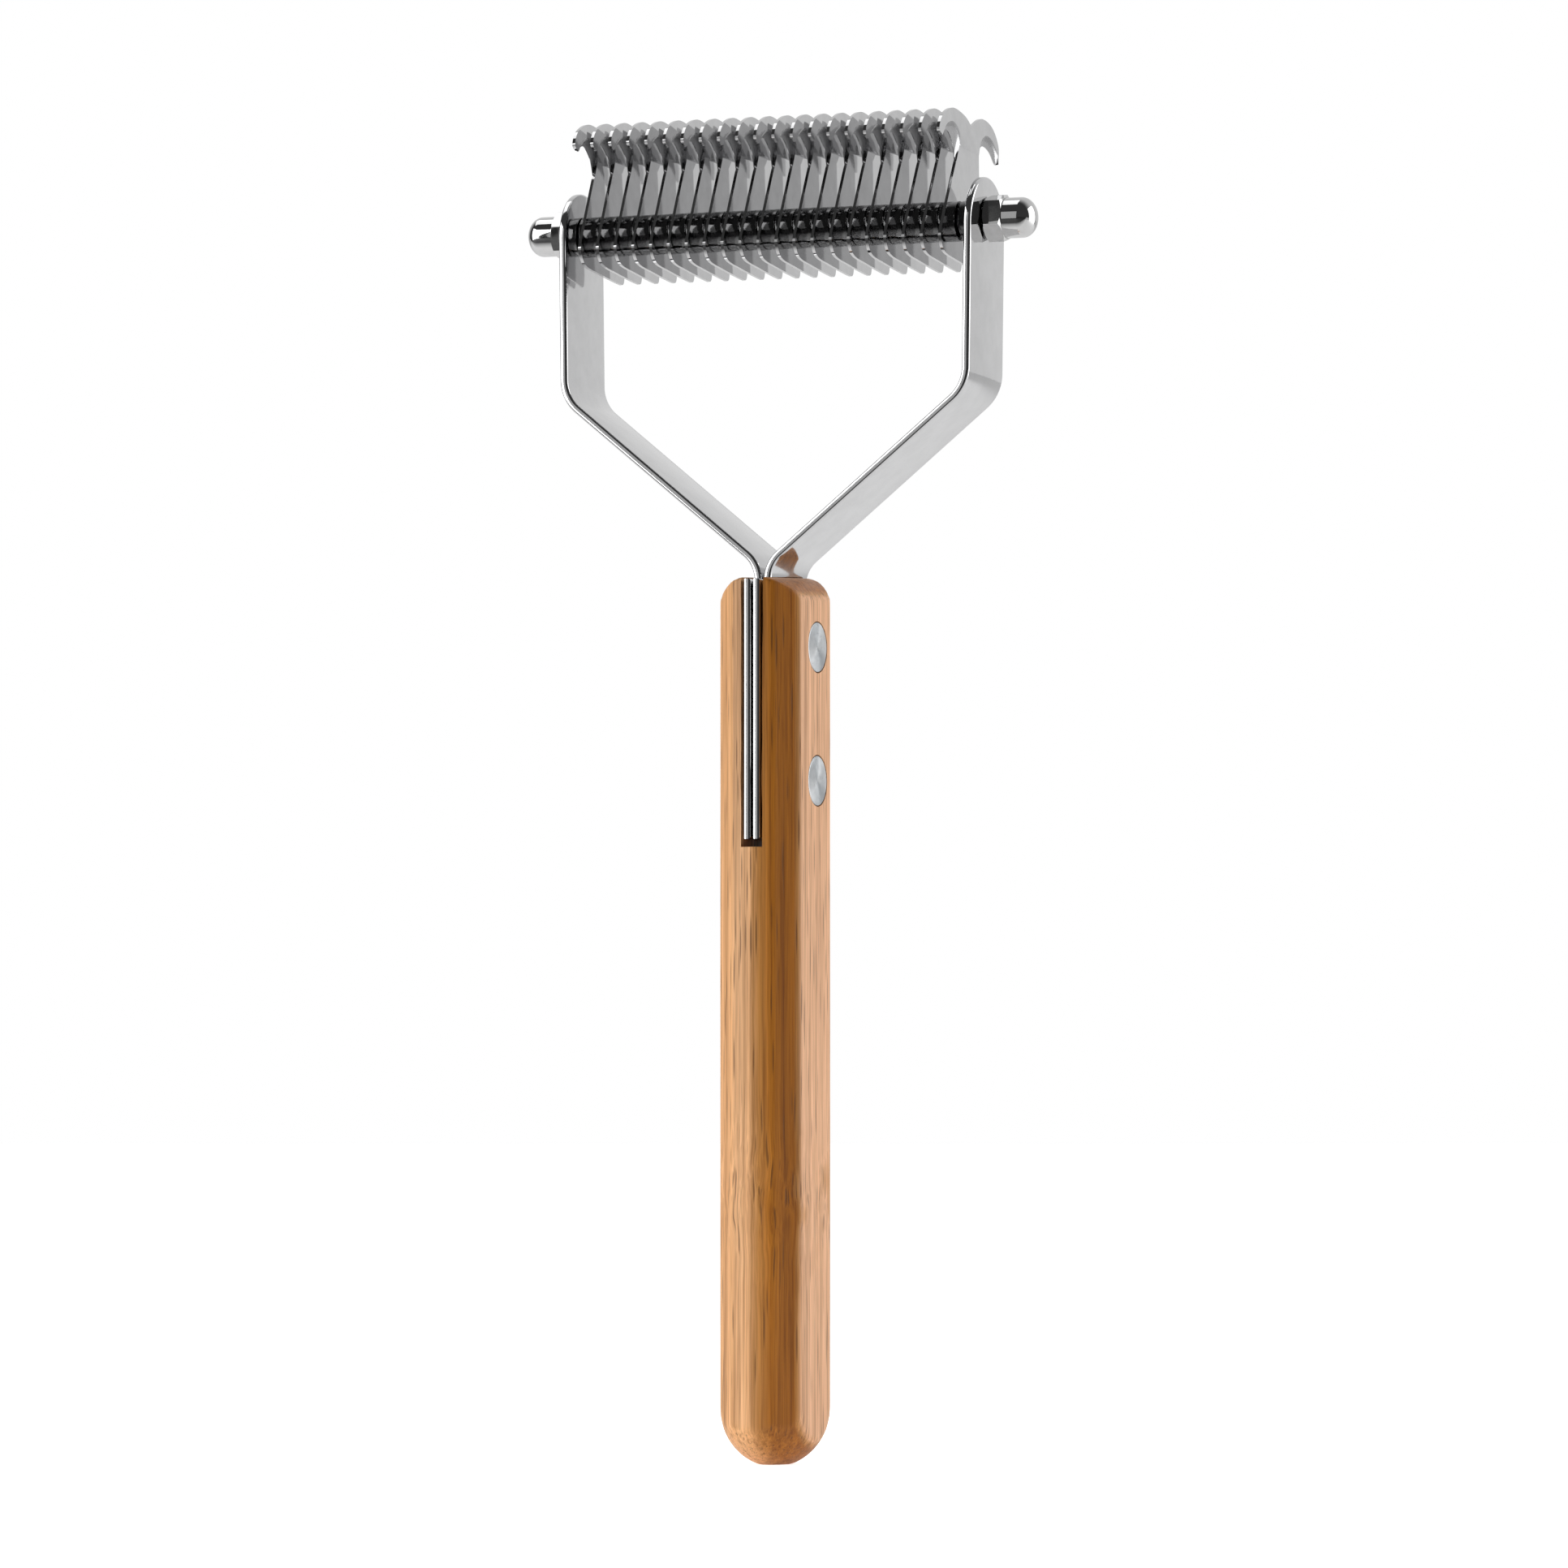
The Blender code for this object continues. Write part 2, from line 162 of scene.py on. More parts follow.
def mesh_from(bm, name, sharp_angle=radians(30)):
    bmesh.ops.recalc_face_normals(bm, faces=bm.faces)
    mesh = bpy.data.meshes.new(name)
    bm.to_mesh(mesh)
    bm.free()
    mesh.shade_smooth()
    mesh.set_sharp_from_angle(angle=sharp_angle)
    return mesh


def place(name, mesh):
    thing = bpy.data.objects.new(name, mesh)
    bpy.context.scene.collection.objects.link(thing)
    return thing


def finish_piece(thing, body, node, slot, *finishes):
    """Gives a piece its materials, and lets it ride on a body in place of its CAD node."""
    while thing.data.materials:
        thing.data.materials.pop()
    for finish in finishes:
        thing.data.materials.append(finish)
    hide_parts(node)
    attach(thing, body)


def applied(thing):
    """Applies the modifiers of thing to its mesh."""
    depsgraph = bpy.context.evaluated_depsgraph_get()
    mesh = bpy.data.meshes.new_from_object(thing.evaluated_get(depsgraph))
    thing.modifiers.clear()
    thing.data = mesh


def boolean(target, operation, mesh):
    """Combines target with mesh."""
    cutter = place("cutter", mesh)
    modifier = target.modifiers.new("cut", "BOOLEAN")
    modifier.operation = operation
    modifier.solver = "MANIFOLD"
    modifier.object = cutter
    applied(target)
    bpy.data.objects.remove(cutter, do_unlink=True)


def circle(radius, steps=ROUND_STEPS):
    turns = [2 * pi * i / steps for i in range(steps)]
    return [(radius * cos(a), radius * sin(a)) for a in turns]


def bridge(bm, ring, following):
    for i in range(len(ring)):
        j = (i + 1) % len(ring)
        bm.faces.new((ring[i], ring[j], following[j], following[i]))


def plate(outline, low, high, plane, name):
    """A flat plate whose outline lies in plane ("XZ" or "YZ")."""
    bm = bmesh.new()
    rings = []
    for level in (low, high):
        points = [(level, a, b) if plane == "YZ" else (a, level, b) for a, b in outline]
        rings.append([bm.verts.new(p) for p in points])
        bm.faces.new(rings[-1])
    bridge(bm, *rings)
    return mesh_from(bm, name)


def turned(profile, name, tube=False, steps=ROUND_STEPS, sharp_angle=radians(30)):
    """A turned solid along X from (x, radius) pairs. A tube joins its last pair to its first."""
    bm = bmesh.new()
    rings = [[bm.verts.new((x, *p)) for p in circle(radius, steps)] for x, radius in profile]
    for ring, following in zip(rings, rings[1:]):
        bridge(bm, ring, following)
    if tube:
        bridge(bm, rings[-1], rings[0])
    else:
        bm.faces.new(rings[0])
        bm.faces.new(rings[-1])
    return mesh_from(bm, name, sharp_angle)


def rounded_step(x, radius, size, side, steps=4):
    """(x, radius) pairs that round a turned piece's rim at x.

    side is -1 for the piece's low end and 1 for its high end.
    """
    turns = [pi / 2 * i / steps for i in range(steps + 1)]
    pairs = [(x - side * size * (1 - sin(a)), radius - size * (1 - cos(a))) for a in turns]
    return pairs if side > 0 else pairs[::-1]


# ---------------------------------------------------------------- handle

handle_low, handle_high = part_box("handle")


def handle_section():
    """The ten-sided section, with points along each side."""
    quarter = [
        (handle_high.x, SIDE_FLAT_HALF_Y),
        (FRONT_FACET_HALF_X, FRONT_FACET_EDGE_Y),
        (0.0, handle_high.y),
    ]
    half = quarter + [(-x, y) for x, y in reversed(quarter[:-1])]
    corners = half + [(-x, -y) for x, y in half]
    points = []
    for (ax, ay), (bx, by) in zip(corners, corners[1:] + corners[:1]):
        for i in range(FACET_STEPS):
            points.append((ax + (bx - ax) * i / FACET_STEPS, ay + (by - ay) * i / FACET_STEPS))
    return points


def handle_blank():
    """The bar with its domed butt, taller than the finished handle."""
    bm = bmesh.new()
    section = handle_section()
    start = 1 - sqrt(1 - BUTT_FLAT_SHARE**2)
    rings = []
    for i in range(BUTT_STEPS + 1):
        level = start + (1 - start) * (i / BUTT_STEPS) ** 1.6
        dome = sqrt(1 - (1 - level) ** 2)
        z = BUTT_HEIGHT * (level - start) / (1 - start)
        ring = []
        for x, y in section:
            share = min(1.0, dome / hypot(x / BUTT_RADIUS_X, y / BUTT_RADIUS_Y))
            ring.append(bm.verts.new((x * share, y * share, z)))
        rings.append(ring)
    rings.append([bm.verts.new((x, y, handle_high.z + 1 * MM)) for x, y in section])
    bm.faces.new(rings[0])
    bm.faces.new(rings[-1])
    for ring, above in zip(rings, rings[1:]):
        bridge(bm, ring, above)
    return mesh_from(bm, "handle")


def arch_cutter():
    """Everything above the arched top, which rises to the rear."""
    arch = []
    for i in range(ARCH_STEPS + 1):
        x = ARCH_RADIUS_X * 0.999 * cos(pi * i / ARCH_STEPS)
        drop = ARCH_RADIUS_Z * (1 - sqrt(1 - (x / ARCH_RADIUS_X) ** 2))
        arch.append((x, HANDLE_FRONT_TOP - drop))
    foot = arch[0][1]
    top = HANDLE_FRONT_TOP + 5 * MM
    wide = 10 * MM
    outline = [(-wide, foot), (-wide, top), (wide, top), (wide, foot)] + arch
    mesh = plate(outline, 2 * handle_low.y, 2 * handle_high.y, "XZ", "arch")
    for vertex in mesh.vertices:
        vertex.co.z += (vertex.co.y + handle_high.y) * tan(ARCH_TILT)
    return mesh


def slot_cutter():
    """The slot, whose walls wander a little and whose right wall flares near the top."""
    left, right = [], []
    for i in range(SLOT_STEPS + 1):
        z = SLOT_FLOOR_Z + (handle_high.z + 2 * MM - SLOT_FLOOR_Z) * i / SLOT_STEPS
        wander = SLOT_WANDER * noise.noise(Vector((0, 0, z * 130)))
        flare = SLOT_FLARE * max(0.0, (z - SLOT_FLARE_Z) / SLOT_FLARE_HEIGHT)
        left.append((-SLOT_HALF_X + wander, z))
        right.append((SLOT_HALF_X + wander + flare, z))
    return plate(right + left[::-1], 2 * handle_low.y, 2 * handle_high.y, "XZ", "slot")


def add_fibres(mesh):
    """Raises fine lengthwise fibres on the wood, and leaves it smooth on average."""
    normals = [vertex.normal.copy() for vertex in mesh.vertices]
    (fine, long), (coarse, short) = FIBRE_SCALES, KNOT_SCALES
    for vertex, normal in zip(mesh.vertices, normals):
        x, y, z = vertex.co
        fibre = noise.noise(Vector((x * fine, y * fine, z * long)))
        knot = noise.noise(Vector((x * coarse, y * coarse, z * short + 7)))
        vertex.co += normal * FIBRE_RELIEF * (fibre + 0.6 * knot) / 1.6


def rivet_middle(name):
    low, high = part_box(name)
    return (low + high) / 2


def make_handle(finish):
    """The bamboo handle. The remesh evens its faces out and rounds its edges before the fibres go on."""
    handle = place("bamboo_handle", handle_blank())
    boolean(handle, "DIFFERENCE", arch_cutter())
    remesh = handle.modifiers.new("remesh", "REMESH")
    remesh.mode = "VOXEL"
    remesh.voxel_size = WOOD_VOXEL
    smooth = handle.modifiers.new("smooth", "SMOOTH")
    smooth.factor = 0.5
    smooth.iterations = 7
    applied(handle)
    add_fibres(handle.data)
    boolean(handle, "DIFFERENCE", slot_cutter())
    for name in ("upper_rivet", "lower_rivet"):
        low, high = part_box(name)
        radius = (high.z - low.z) / 2 + RIVET_CLEARANCE
        hole = turned([(2 * low.x, radius), (2 * high.x, radius)], "rivet_hole")
        hole.transform(Matrix.Translation(rivet_middle(name)))
        boolean(handle, "DIFFERENCE", hole)
    handle.data.shade_smooth()
    handle.data.set_sharp_from_angle(angle=radians(40))
    finish_piece(handle, "fork_and_handle", "handle", "bamboo", finish)


# ---------------------------------------------------------------- rivets


def make_rivet(node, finish):
    """A turned spool with flush heads whose faces dish in a little."""
    low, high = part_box(node)
    radius = (high.z - low.z) / 2
    half = high.x
    seat = half - RIVET_HEAD_DEPTH
    face = [(half - 0.06 * MM, 0.15 * radius), (half - 0.04 * MM, 0.5 * radius)]
    face += rounded_step(half, radius, RIVET_RIM, 1)[::-1]
    head = face + [(seat, radius), (seat, radius / 2)]
    profile = [(-x, r) for x, r in head] + head[::-1]
    rivet = place(f"{node}_turned", turned(profile, node, steps=72))
    rivet.data.transform(Matrix.Translation(rivet_middle(node)))
    finish_piece(rivet, "fork_and_handle", node, "brushed_rivet", finish)


# ---------------------------------------------------------------- fork

rod_low, rod_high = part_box("axle_rod")
AXLE = (rod_low + rod_high) / 2
arm_low, arm_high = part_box("right_arm")
STRIP_HALF_Y = arm_high.y - AXLE.y
ARM_END_Z = arm_high.z - STRIP_HALF_Y
ARM_INNER_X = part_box("right_cap_nut")[0].x - STRIP_THICKNESS - 0.3 * MM


def strip_path():
    """(length, point, normal) along the middle of the right strip, from the tang's end up.

    Points are (x, z).
    """
    middle = STRIP_THICKNESS / 2
    top = arm_high.z + 1 * MM
    splay = (ARM_INNER_X - ELBOW_INNER_X) / (AXLE.z - ELBOW_Z)
    corners = [
        Vector((TANG_INNER_X + middle, arm_low.z)),
        Vector((TANG_INNER_X + middle, THROAT_Z)),
        Vector((ELBOW_INNER_X + middle, ELBOW_Z)),
        Vector((ELBOW_INNER_X + middle + splay * (top - ELBOW_Z), top)),
    ]
    points = [corners[0]]
    for before, corner, after, radius in zip(
        corners, corners[1:], corners[2:], (THROAT_RADIUS, ELBOW_RADIUS)
    ):
        into = (corner - before).normalized()
        away = (after - corner).normalized()
        angle = into.angle_signed(away)
        side = -1 if angle > 0 else 1
        start = corner - into * radius * tan(abs(angle) / 2)
        centre = start + Vector((-into.y, into.x)) * radius * side
        for step in range(BEND_STEPS + 1):
            points.append(centre + Matrix.Rotation(-angle * step / BEND_STEPS, 2) @ (start - centre))
    points.append(corners[-1])
    path, length = [], 0.0
    for i, point in enumerate(points):
        ahead = points[min(i + 1, len(points) - 1)] - points[max(i - 1, 0)]
        ahead.normalize()
        if i:
            length += (point - points[i - 1]).length
        path.append((length, point, Vector((-ahead.y, ahead.x))))
    return path


def on_path(path, length):
    """The point and normal of path at length."""
    for (a, p, m), (b, q, n) in zip(path, path[1:]):
        if length <= b or b == path[-1][0]:
            share = (length - a) / (b - a)
            return p.lerp(q, share), m.lerp(n, share).normalized()


def length_at_height(path, z):
    for (a, p, _), (b, q, _) in zip(path, path[1:]):
        if p.y <= z <= q.y:
            return a + (b - a) * (z - p.y) / (q.y - p.y)


def strip_rungs(path):
    """(length, front y, rear y) at each step along the strip, without its tip."""
    front, rear = AXLE.y - STRIP_HALF_Y, AXLE.y + STRIP_HALF_Y
    tang_front = arm_low.y
    shoulder = length_at_height(path, SHOULDER_Z)
    end = length_at_height(path, ARM_END_Z)
    rungs = [(length, tang_front, rear) for length in (0.0, shoulder / 3, shoulder * 2 / 3, shoulder)]
    rungs += [(length, front, rear) for length, _, _ in path if shoulder < length < end]
    rungs.insert(4, (shoulder + 1e-6, front, rear))
    for i in range(30):
        turn = pi / 2 * i / 30
        reach = STRIP_HALF_Y * cos(turn)
        rungs.append((end + STRIP_HALF_Y * sin(turn), AXLE.y - reach, AXLE.y + reach))
    return rungs, end + STRIP_HALF_Y


def inset(outline, distance):
    """The closed outline moved inwards. It runs with its inside on the right."""
    moved = []
    for i, point in enumerate(outline):
        before = (point - outline[i - 1]).normalized()
        after = (outline[(i + 1) % len(outline)] - point).normalized()
        inward = Vector((before.y, -before.x)) + Vector((after.y, -after.x))
        inward.normalize()
        share = max(0.5, inward.dot(Vector((after.y, -after.x))))
        moved.append(point + inward * distance / share)
    return moved


def strip_mesh():
    """The right strip: a flat plate with rounded edges, bent along its path."""
    path = strip_path()
    rungs, tip = strip_rungs(path)
    outline = [Vector((length, y)) for length, y, _ in rungs] + [Vector((tip, AXLE.y))]
    outline += [Vector((length, y)) for length, _, y in reversed(rungs)]
    outline.reverse()
    half, edge = STRIP_THICKNESS / 2, STRIP_EDGE_RADIUS
    levels = []
    for i in range(5):
        turn = pi / 2 * i / 4
        levels.append((edge * (1 - sin(turn)), half - edge * (1 - cos(turn))))
    levels = [(gap, -level) for gap, level in levels] + [(gap, level) for gap, level in levels[::-1]]
    bm = bmesh.new()
    rings = []
    for gap, level in levels:
        ring = []
        for point in inset(outline, gap):
            spot, normal = on_path(path, point.x)
            spot = spot + normal * level
            ring.append(bm.verts.new((spot.x, point.y, spot.y)))
        rings.append(ring)
    for ring, following in zip(rings, rings[1:]):
        bridge(bm, ring, following)
    count = len(rungs)
    for ring in (rings[0], rings[-1]):
        front, rear, point = ring[count + 1 :][::-1], ring[:count], ring[count]
        for i in range(count - 1):
            bm.faces.new((front[i], front[i + 1], rear[i + 1], rear[i]))
        bm.faces.new((front[-1], point, rear[-1]))
    return mesh_from(bm, "strip")


def make_arms(finish):
    """Both strips, with their holes. The left one is the right one's mirror image."""
    arm = place("strip", strip_mesh())
    bore = turned([(0, BORE_RADIUS), (50 * MM, BORE_RADIUS)], "bore")
    bore.transform(Matrix.Translation((0, AXLE.y, AXLE.z)))
    boolean(arm, "DIFFERENCE", bore)
    for name in ("upper_rivet", "lower_rivet"):
        hole = turned([(-20 * MM, BORE_RADIUS), (20 * MM, BORE_RADIUS)], "rivet_hole")
        hole.transform(Matrix.Translation(rivet_middle(name)))
        boolean(arm, "DIFFERENCE", hole)
    right = arm.data
    right.shade_smooth()
    right.set_sharp_from_angle(angle=radians(40))
    left = right.copy()
    left.transform(Matrix.Diagonal((-1, 1, 1, 1)))
    left.flip_normals()
    bpy.data.objects.remove(arm, do_unlink=True)
    for side, mesh in (("right", right), ("left", left)):
        piece = place(f"{side}_strip", mesh)
        finish_piece(piece, "fork_and_handle", f"{side}_arm", "polished_steel", finish)


# ---------------------------------------------------------------- axle rod


def make_rod(finish):
    """The rod with its thread, cut as close rings."""
    radius = (rod_high.z - rod_low.z) / 2
    root = radius - THREAD_DEPTH
    low, high = rod_low.x + ROD_CHAMFER, rod_high.x - ROD_CHAMFER
    profile = [(rod_low.x, root)]
    count = int((high - low) / THREAD_PITCH)
    step = (high - low) / count
    for i in range(count):
        x = low + i * step
        profile.append((x, root))
        profile += [(x + share * step, radius) for share in THREAD_CREST]
    profile += [(high, root), (rod_high.x, root)]
    rod = place("threaded_rod", turned(profile, "rod", steps=20, sharp_angle=radians(20)))
    rod.data.transform(Matrix.Translation((0, AXLE.y, AXLE.z)))
    finish_piece(rod, "fork_and_handle", "axle_rod", "rod_steel", finish)


# ---------------------------------------------------------------- blades

# The outline's curves, as (y, z) points in millimetres from the axle.
FRONT_HOOK = [(-9.0, 12.9), (-10.4, 13.9), (-8.6, 16.3), (-4.0, 17.9), (1.4, 17.2), (4.6, 15.8)]
REAR_OVER = [(4.6, 15.8), (9.4, 17.5), (14.4, 16.6), (17.3, 13.8), (17.2, 10.8)]
REAR_UNDER = [(17.2, 10.8), (16.2, 10.8), (13.6, 12.6), (10.3, 13.1), (7.9, 11.2)]
REAR_GRIND = [(17.2, 10.8), (16.6, 12.7), (14.0, 14.6), (11.1, 14.9), (8.9, 13.4), (7.9, 11.2)]
PLAIN_REAR = [(4.6, 15.8), (6.9, 14.1), (7.9, 11.2)]
BACK = [(7.9, 11.2), (7.9, -6.2)]
FOOT = [(7.9, -6.2), (7.2, -7.6), (5.4, -7.7), (-3.0, -6.8), (-8.6, -5.9), (-10.3, -3.6), (-9.8, -2.0)]
SHANK = [(-9.8, -2.0), (-3.6, 8.0), (-2.5, 9.6)]
FRONT_UNDER = [(-2.5, 9.6), (-3.4, 12.2), (-6.0, 14.1), (-9.0, 12.9)]
FRONT_GRIND = [(-2.5, 9.6), (-1.4, 11.6), (-0.7, 13.5), (-2.0, 15.1), (-4.3, 15.7), (-6.9, 14.9)]
FRONT_GRIND += [(-9.0, 12.9)]
GRIND_ROWS = 5
GRIND_POINTS = 26
CURVE_STEPS = 8
EDGE_LEFT = 0.1 * MM


def smooth_curve(points, steps):
    """A Catmull-Rom curve through points."""
    knots = [Vector(p) * MM for p in points]
    padded = [knots[0] * 2 - knots[1], *knots, knots[-1] * 2 - knots[-2]]
    curve = []
    for a, b, c, d in zip(padded, padded[1:], padded[2:], padded[3:]):
        for step in range(steps):
            t = step / steps
            straight = 2 * b + (c - a) * t
            bend = (2 * a - 5 * b + 4 * c - d) * t**2 + (3 * b - a - 3 * c + d) * t**3
            curve.append((straight + bend) / 2)
    return curve + [knots[-1]]


def evenly(curve, count):
    """count points spaced evenly along curve."""
    lengths = [0.0]
    for a, b in zip(curve, curve[1:]):
        lengths.append(lengths[-1] + (b - a).length)
    points, i = [], 0
    for k in range(count):
        goal = lengths[-1] * k / (count - 1)
        while i < len(curve) - 2 and lengths[i + 1] < goal:
            i += 1
        share = (goal - lengths[i]) / (lengths[i + 1] - lengths[i])
        points.append(curve[i].lerp(curve[i + 1], min(1.0, share)))
    return points


def blade_sections(rear_hook):
    """The outline as runs of (points, grind).

    grind is the line on the face where a hook's hollow grind begins, or None.
    """

    def plain(curve, steps=CURVE_STEPS):
        return smooth_curve(curve, steps), None

    def hollow(edge, line):
        return tuple(evenly(smooth_curve(c, CURVE_STEPS), GRIND_POINTS) for c in (edge, line))

    rear = [plain(REAR_OVER), hollow(REAR_UNDER, REAR_GRIND)] if rear_hook else [plain(PLAIN_REAR)]
    runs = [plain(FRONT_HOOK), *rear, plain(BACK, 1), plain(FOOT, 6), plain(SHANK)]
    return runs + [hollow(FRONT_UNDER, FRONT_GRIND)]


def fill_with_hole(bm, outline, hole):
    """Fills the face between an outline and a hole in it."""
    edges = []
    for loop in (outline, hole):
        for a, b in zip(loop, loop[1:] + loop[:1]):
            edges.append(bm.edges.get((a, b)) or bm.edges.new((a, b)))
    bmesh.ops.triangle_fill(bm, use_beauty=True, edges=edges)


def grind_rows(bm, points, grind, half, first):
    """Rows of vertices from the grind line down to the hook's thin inner edge. All share first."""
    rows = []
    for row in range(GRIND_ROWS + 1):
        share = row / GRIND_ROWS
        depth = (2 * half - EDGE_LEFT) * (1 - (1 - share) ** 2)
        spots = [line.lerp(edge, share) for line, edge in zip(grind[1:-1], points[1:-1])]
        rows.append([first] + [bm.verts.new((half - depth, *spot)) for spot in spots])
    return rows


def blade_mesh(rear_hook, half):
    """A stamped blade with a hollow grind on the +X side of each hook's inner edge."""
    bm = bmesh.new()
    back, rim, face, ground = [], [], [], []
    for points, grind in blade_sections(rear_hook):
        back += [bm.verts.new((-half, *p)) for p in points[:-1]]
        first = bm.verts.new((half, *points[0]))
        if grind is None:
            run = [first] + [bm.verts.new((half, *p)) for p in points[1:-1]]
            rim += run
            face += run
        else:
            rows = grind_rows(bm, points, grind, half, first)
            ground.append((rows, len(rim) + len(points) - 1))
            rim += rows[-1]
            face += rows[0]
    for rows, following in ground:
        last = rim[following % len(rim)]
        for row, lower in zip([r + [last] for r in rows], [r + [last] for r in rows[1:]]):
            for i in range(len(row) - 1):
                corners = dict.fromkeys((row[i], row[i + 1], lower[i + 1], lower[i]))
                bm.faces.new(list(corners)).material_index = 1
    bridge(bm, back, rim)
    holes = [[bm.verts.new((x, *p)) for p in circle(BORE_RADIUS, 32)] for x in (-half, half)]
    bridge(bm, *holes)
    fill_with_hole(bm, back, holes[0])
    fill_with_hole(bm, face, holes[1])
    return mesh_from(bm, "blade", radians(25))


def middle_x(node):
    low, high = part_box(node)
    return (low.x + high.x) / 2


def lean_at(x):
    """The slack pack leans a little to the left, most at its left end."""
    share = (x - middle_x("blade_01")) / (middle_x("blade_21") - middle_x("blade_01"))
    share = min(1.0, max(0.0, share))
    return LAST_LEAN + (FIRST_LEAN - LAST_LEAN) * (1 - share) ** 1.3


def lean_into_place(x, drop=0.0):
    """The matrix that leans a piece of the pack and moves it to x on the axle."""
    lean = Matrix.Rotation(-lean_at(x), 4, "Y")
    return Matrix.Translation((x, AXLE.y, AXLE.z - drop)) @ lean


def make_blades(finish, ground_finish):
    """The blades. Every second one has a rear hook too."""
    low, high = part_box("blade_01")
    half = (high.x - low.x) / 2
    meshes = [blade_mesh(rear_hook, half) for rear_hook in (True, False)]
    for i in range(21):
        node = f"blade_{i + 1:02d}"
        blade = place(f"hooked_{node}", meshes[i % 2].copy())
        blade.data.transform(lean_into_place(middle_x(node)))
        finish_piece(blade, "blade_pack", node, "blade_steel", finish, ground_finish)


# ---------------------------------------------------------------- spacers


def make_spacers(finish):
    """Straight rings with rounded edges that fill the room between the blades."""
    for i in range(22):
        node = f"spacer_{i + 1:02d}"
        low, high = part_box(node)
        grow = OUTER_SPACER_GROW if i in (0, 21) else SPACER_GROW
        half = (high.x - low.x) / 2 + grow
        radius = (high.z - low.z) / 2
        outside = rounded_step(-half, radius, SPACER_RIM, -1) + rounded_step(half, radius, SPACER_RIM, 1)
        profile = [(-half, BORE_RADIUS)] + outside + [(half, BORE_RADIUS)]
        ring = turned(profile, node, tube=True, sharp_angle=radians(18))
        spacer = place(f"ring_{node}", ring)
        spacer.data.transform(lean_into_place(middle_x(node), SPACER_SAG))
        finish_piece(spacer, "blade_pack", node, "black_spacer", finish)


# ---------------------------------------------------------------- cap nuts


def nut_mesh(length):
    """A cap nut whose seat lies at x = 0 and whose dome points to +X."""
    corner = NUT_ACROSS_FLATS / sqrt(3)
    outline = []
    for i in range(6):
        turn = radians(60 * i) + NUT_TURN
        tip = Vector((cos(turn), sin(turn))) * corner
        for k in (-1, 0, 1):
            side = Vector((-sin(turn), cos(turn))) * k * 0.09 * MM
            outline.append(tuple(tip * (0.986 if k == 0 else 0.978) + side))
    nut = place("nut", plate(outline, 0, NUT_HEX_LENGTH, "YZ", "nut"))
    inside = NUT_ACROSS_FLATS / 2
    drop = (corner - inside) * NUT_CHAMFER
    past = 0.4 * MM
    cone = [(-0.01 * MM, inside), (drop, corner), (NUT_HEX_LENGTH - drop, corner)]
    cone.append((NUT_HEX_LENGTH + past, inside - past / NUT_CHAMFER))
    boolean(nut, "INTERSECT", turned(cone, "chamfer", steps=96))
    straight = length - NUT_DOME_DEPTH
    dome = [(NUT_HEX_LENGTH / 2, NUT_DOME_RADIUS)]
    for i in range(16):
        turn = pi / 2 * i / 16
        dome.append((straight + NUT_DOME_DEPTH * sin(turn), NUT_DOME_RADIUS * cos(turn)))
    dome.append((length, 0.03 * NUT_DOME_RADIUS))
    boolean(nut, "UNION", turned(dome, "dome", steps=64))
    bore = [(-1 * MM, BORE_RADIUS), (NUT_BORE_DEPTH, BORE_RADIUS)]
    boolean(nut, "DIFFERENCE", turned(bore, "bore"))
    mesh = nut.data
    bpy.data.objects.remove(nut, do_unlink=True)
    mesh.shade_smooth()
    mesh.set_sharp_from_angle(angle=radians(22))
    return mesh


def make_nuts(finish):
    low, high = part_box("right_cap_nut")
    mesh = nut_mesh(high.x - low.x)
    for side, turn, x in (("right", 0, low.x), ("left", pi, -low.x)):
        nut = place(f"{side}_domed_nut", mesh.copy())
        nut.data.transform(Matrix.Rotation(turn, 4, "Z"))
        nut.data.transform(Matrix.Translation((x, AXLE.y, AXLE.z)))
        finish_piece(nut, f"{side}_cap_nut", f"{side}_cap_nut", "plated_nut", finish)


# ---------------------------------------------------------------- materials


